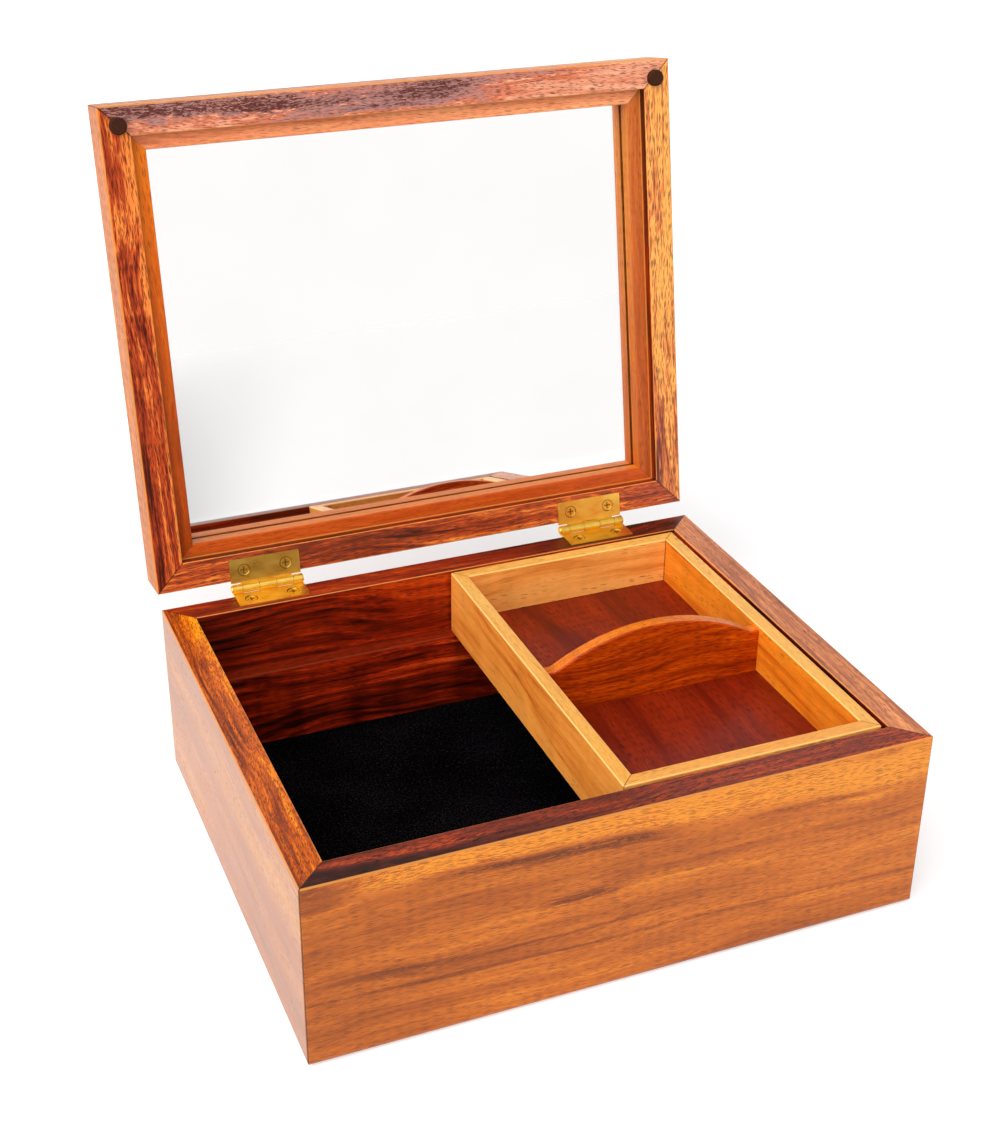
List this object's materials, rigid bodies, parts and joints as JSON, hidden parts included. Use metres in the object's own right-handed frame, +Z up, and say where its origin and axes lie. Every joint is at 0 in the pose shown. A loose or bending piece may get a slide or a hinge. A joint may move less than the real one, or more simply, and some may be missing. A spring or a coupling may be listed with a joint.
{
  "type": "jewelry box",
  "caption": "Hinged wooden jewelry box with a mirrored lid, brass stop hinges, a felt-lined well and a sliding pocketed tray with an arched divider.",
  "frame": {"origin": "centre of the case's underside, on the surface it stands on", "axes": "+Z up, +X to the right seen from the front, the front faces -Y and the hinges are at +Y"},
  "size_m": [0.254, 0.2694, 0.2871],
  "materials": {
    "case_wood": "satin lacquer over streaked golden-brown hardwood",
    "lid_wood": "satin lacquer over red-brown hardwood with dark pores",
    "panel_wood": "satin lacquer over streaked golden-brown hardwood",
    "runner_wood": "satin lacquer over dark red hardwood with curly figure",
    "strip_wood": "satin lacquer over plain orange-brown hardwood",
    "tray_wood": "satin lacquer over pale golden hardwood",
    "tray_floor_wood": "satin lacquer over dark red-brown veneer",
    "divider_wood": "satin lacquer over orange-brown hardwood",
    "lining_board": "raw hardboard",
    "black_velvet": "black flocked velvet",
    "hinge_brass": "polished brass",
    "mirror_glass": "silvered glass",
    "bumper_pad": "dark brown felt-faced rubber"
  },
  "bodies": {
    "case": {"bottom_panel": "panel_wood", "floor_board": "lining_board", "floor_felt": "black_velvet", "front_runner": "runner_wood", "front_wall": "case_wood", "left_hinge_case_leaf": "hinge_brass", "left_hinge_case_screws": "hinge_brass", "left_hinge_pin": "hinge_brass", "left_wall": "case_wood", "rear_runner": "runner_wood", "rear_wall": "case_wood", "right_hinge_case_leaf": "hinge_brass", "right_hinge_case_screws": "hinge_brass", "right_hinge_pin": "hinge_brass", "right_wall": "case_wood"},
    "lid": {"left_bumper": "bumper_pad", "left_hinge_lid_leaf": "hinge_brass", "left_hinge_lid_screws": "hinge_brass", "lid_front_rail": "lid_wood", "lid_left_rail": "lid_wood", "lid_panel": "panel_wood", "lid_rear_rail": "lid_wood", "lid_right_rail": "lid_wood", "mirror": "mirror_glass", "mirror_front_strip": "strip_wood", "mirror_left_strip": "strip_wood", "mirror_rear_strip": "strip_wood", "mirror_right_strip": "strip_wood", "right_bumper": "bumper_pad", "right_hinge_lid_leaf": "hinge_brass", "right_hinge_lid_screws": "hinge_brass"},
    "tray": {"tray_divider": "divider_wood", "tray_floor": "tray_floor_wood", "tray_front": "tray_wood", "tray_left": "tray_wood", "tray_rear": "tray_wood", "tray_right": "tray_wood"}
  },
  "joints": [
    {"name": "lid_hinge", "type": "hinge", "parent": "case", "child": "lid", "pos_m": [0, 0.1062, 0.0815], "axis": [1, 0, 0], "range_deg": [0, 100]},
    {"name": "tray_slide", "type": "slide", "parent": "case", "child": "tray", "axis": [1, 0, 0], "range_m": [-0.115, 0.0015]}
  ]
}
